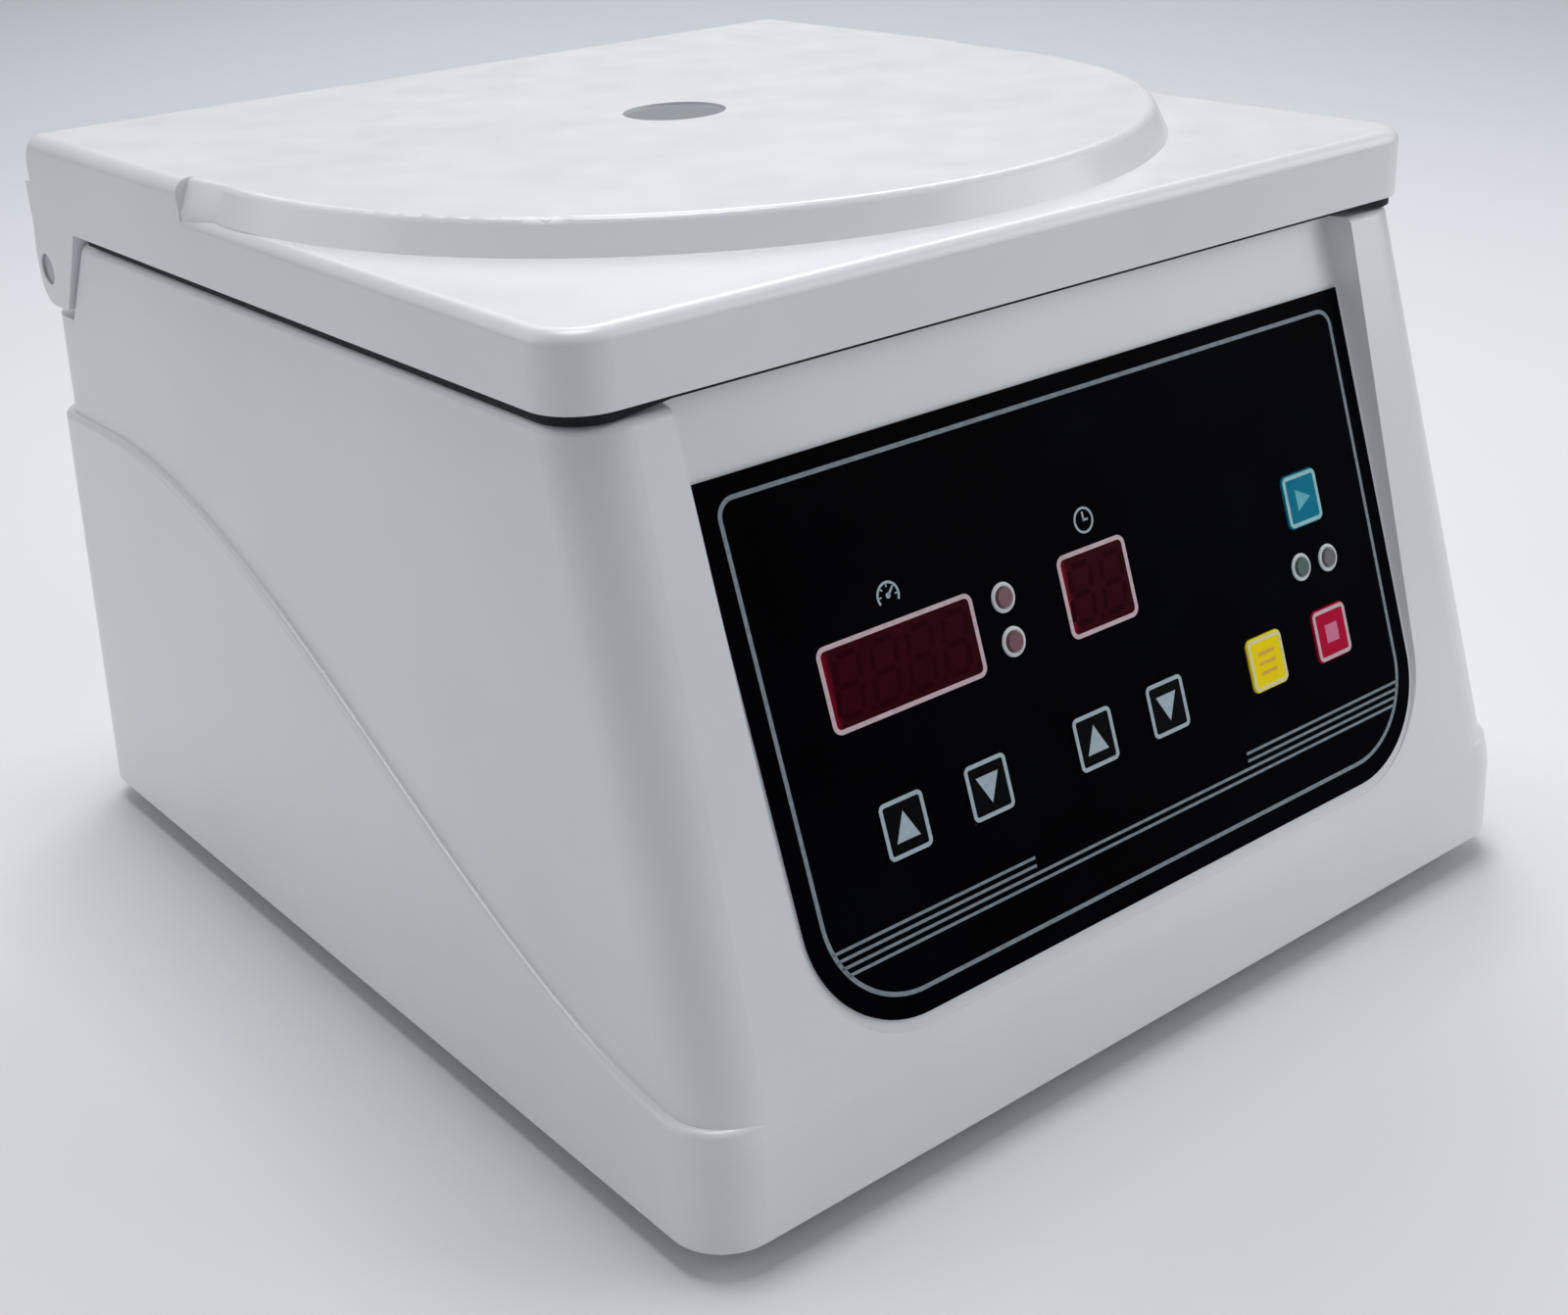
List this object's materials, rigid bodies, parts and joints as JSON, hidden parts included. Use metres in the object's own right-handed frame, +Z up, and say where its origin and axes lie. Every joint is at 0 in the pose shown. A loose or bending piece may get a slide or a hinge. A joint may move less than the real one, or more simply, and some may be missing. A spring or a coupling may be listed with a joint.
{
  "type": "benchtop laboratory centrifuge",
  "caption": "Benchtop laboratory centrifuge with a hinged lid over a steel chamber, an angle rotor with tube sleeves, and a sloping front panel with keys and displays.",
  "frame": {"origin": "centre of the bounding box at the bottom, on the plane of the feet", "axes": "+Z up, +Y to the rear, +X to the right seen from the front"},
  "size_m": [0.2968, 0.3376, 0.2175],
  "materials": {
    "white_shell": "smooth glossy moulded plastic",
    "liner_plastic": "satin moulded plastic",
    "window_grey": "polished translucent grey plastic",
    "film_black": "printed satin film",
    "red_filter": "polished dark red plastic",
    "lamp_plastic": "translucent plastic",
    "key_black": "printed satin film over a plastic cap",
    "key_yellow": "printed satin film over a plastic cap",
    "key_red": "printed satin film over a plastic cap",
    "key_teal": "printed satin film over a plastic cap",
    "rubber_black": "matt black rubber",
    "seal_rubber": "soft dark grey rubber",
    "steel_sheet": "zinc plated sheet",
    "bowl_steel": "brushed stainless steel",
    "steel_turned": "turned steel",
    "rotor_aluminium": "anodised aluminium",
    "copper": "lacquered copper wire",
    "board_green": "solder resist",
    "case_black": "fine spark-eroded black plastic",
    "cable_grey": "flexible plastic"
  },
  "bodies": {
    "base": {"housing": "white_shell", "base_plate": "steel_sheet", "feet": "rubber_black", "foot_screws": "steel_turned", "base_screws": "steel_turned", "chamber_bowl": "bowl_steel", "chamber_gasket": "seal_rubber", "motor_dampers": "rubber_black", "damper_bolts": "steel_turned", "motor_plate": "steel_sheet", "motor_can": "steel_sheet", "motor_cap": "rotor_aluminium", "motor_bearings": "steel_turned", "motor_stator": "steel_sheet", "motor_windings": "copper", "shaft_boot": "rubber_black", "lock_frame": "case_black", "hinge_pins": "steel_turned", "hinge_brackets": "steel_sheet", "panel_overlay": "film_black", "speed_window": "red_filter", "time_window": "red_filter", "speed_display": "case_black", "time_display": "case_black", "lamp_lenses": "lamp_plastic", "display_board": "board_green", "board_spacers": "steel_turned", "board_screws": "steel_turned", "key_switches": "case_black", "power_inlet": "case_black", "inlet_screws": "steel_turned", "switch_frame": "case_black", "power_board": "board_green", "power_posts": "steel_turned", "power_screws": "steel_turned", "power_capacitors": "case_black", "heatsink": "rotor_aluminium", "ribbon_cable": "cable_grey", "cable_headers": "case_black"},
    "lid": {"lid_cover": "white_shell", "lid_liner": "liner_plastic", "liner_screws": "steel_turned", "lid_window": "window_grey", "liner_pane": "window_grey", "lid_hook": "steel_turned"},
    "rotor": {"motor_shaft": "steel_turned", "motor_core": "steel_turned", "rotor_head": "rotor_aluminium", "tube_sleeves": "liner_plastic", "rotor_nut": "rotor_aluminium"},
    "lock_bolt": {"lock_plunger": "steel_turned"},
    "rocker": {"power_rocker": "case_black"},
    "speed_up_button": {"speed_up_key": "key_black"},
    "speed_down_button": {"speed_down_key": "key_black"},
    "time_up_button": {"time_up_key": "key_black"},
    "time_down_button": {"time_down_key": "key_black"},
    "mode_button": {"mode_key": "key_yellow"},
    "stop_button": {"stop_key": "key_red"},
    "start_button": {"start_key": "key_teal"}
  },
  "joints": [
    {"name": "lid_hinge", "type": "hinge", "parent": "base", "child": "lid", "pos_m": [0, 0.1554, 0.1774], "axis": [-1, 0, 0], "range_deg": [0, 85]},
    {"name": "rotor_spin", "type": "hinge", "parent": "base", "child": "rotor", "pos_m": [0, 0.0237, 0.15], "axis": [0, 0, 1], "continuous": true},
    {"name": "lock_slide", "type": "slide", "parent": "base", "child": "lock_bolt", "axis": [0, -1, 0], "range_m": [0, 0.007]},
    {"name": "rocker_tilt", "type": "hinge", "parent": "base", "child": "rocker", "pos_m": [0.048, 0.1628, 0.046], "axis": [1, 0, 0], "range_deg": [0, 15.5]},
    {"name": "speed_up_press", "type": "slide", "parent": "base", "child": "speed_up_button", "axis": [0, 0.9518, -0.3067], "range_m": [0, 0.0005], "stiffness_N_per_m": 600},
    {"name": "speed_down_press", "type": "slide", "parent": "base", "child": "speed_down_button", "axis": [0, 0.9518, -0.3067], "range_m": [0, 0.0005], "stiffness_N_per_m": 600},
    {"name": "time_up_press", "type": "slide", "parent": "base", "child": "time_up_button", "axis": [0, 0.9518, -0.3067], "range_m": [0, 0.0005], "stiffness_N_per_m": 600},
    {"name": "time_down_press", "type": "slide", "parent": "base", "child": "time_down_button", "axis": [0, 0.9518, -0.3067], "range_m": [0, 0.0005], "stiffness_N_per_m": 600},
    {"name": "mode_press", "type": "slide", "parent": "base", "child": "mode_button", "axis": [0, 0.9518, -0.3067], "range_m": [0, 0.0005], "stiffness_N_per_m": 600},
    {"name": "stop_press", "type": "slide", "parent": "base", "child": "stop_button", "axis": [0, 0.9518, -0.3067], "range_m": [0, 0.0005], "stiffness_N_per_m": 600},
    {"name": "start_press", "type": "slide", "parent": "base", "child": "start_button", "axis": [0, 0.9518, -0.3067], "range_m": [0, 0.0005], "stiffness_N_per_m": 600}
  ]
}
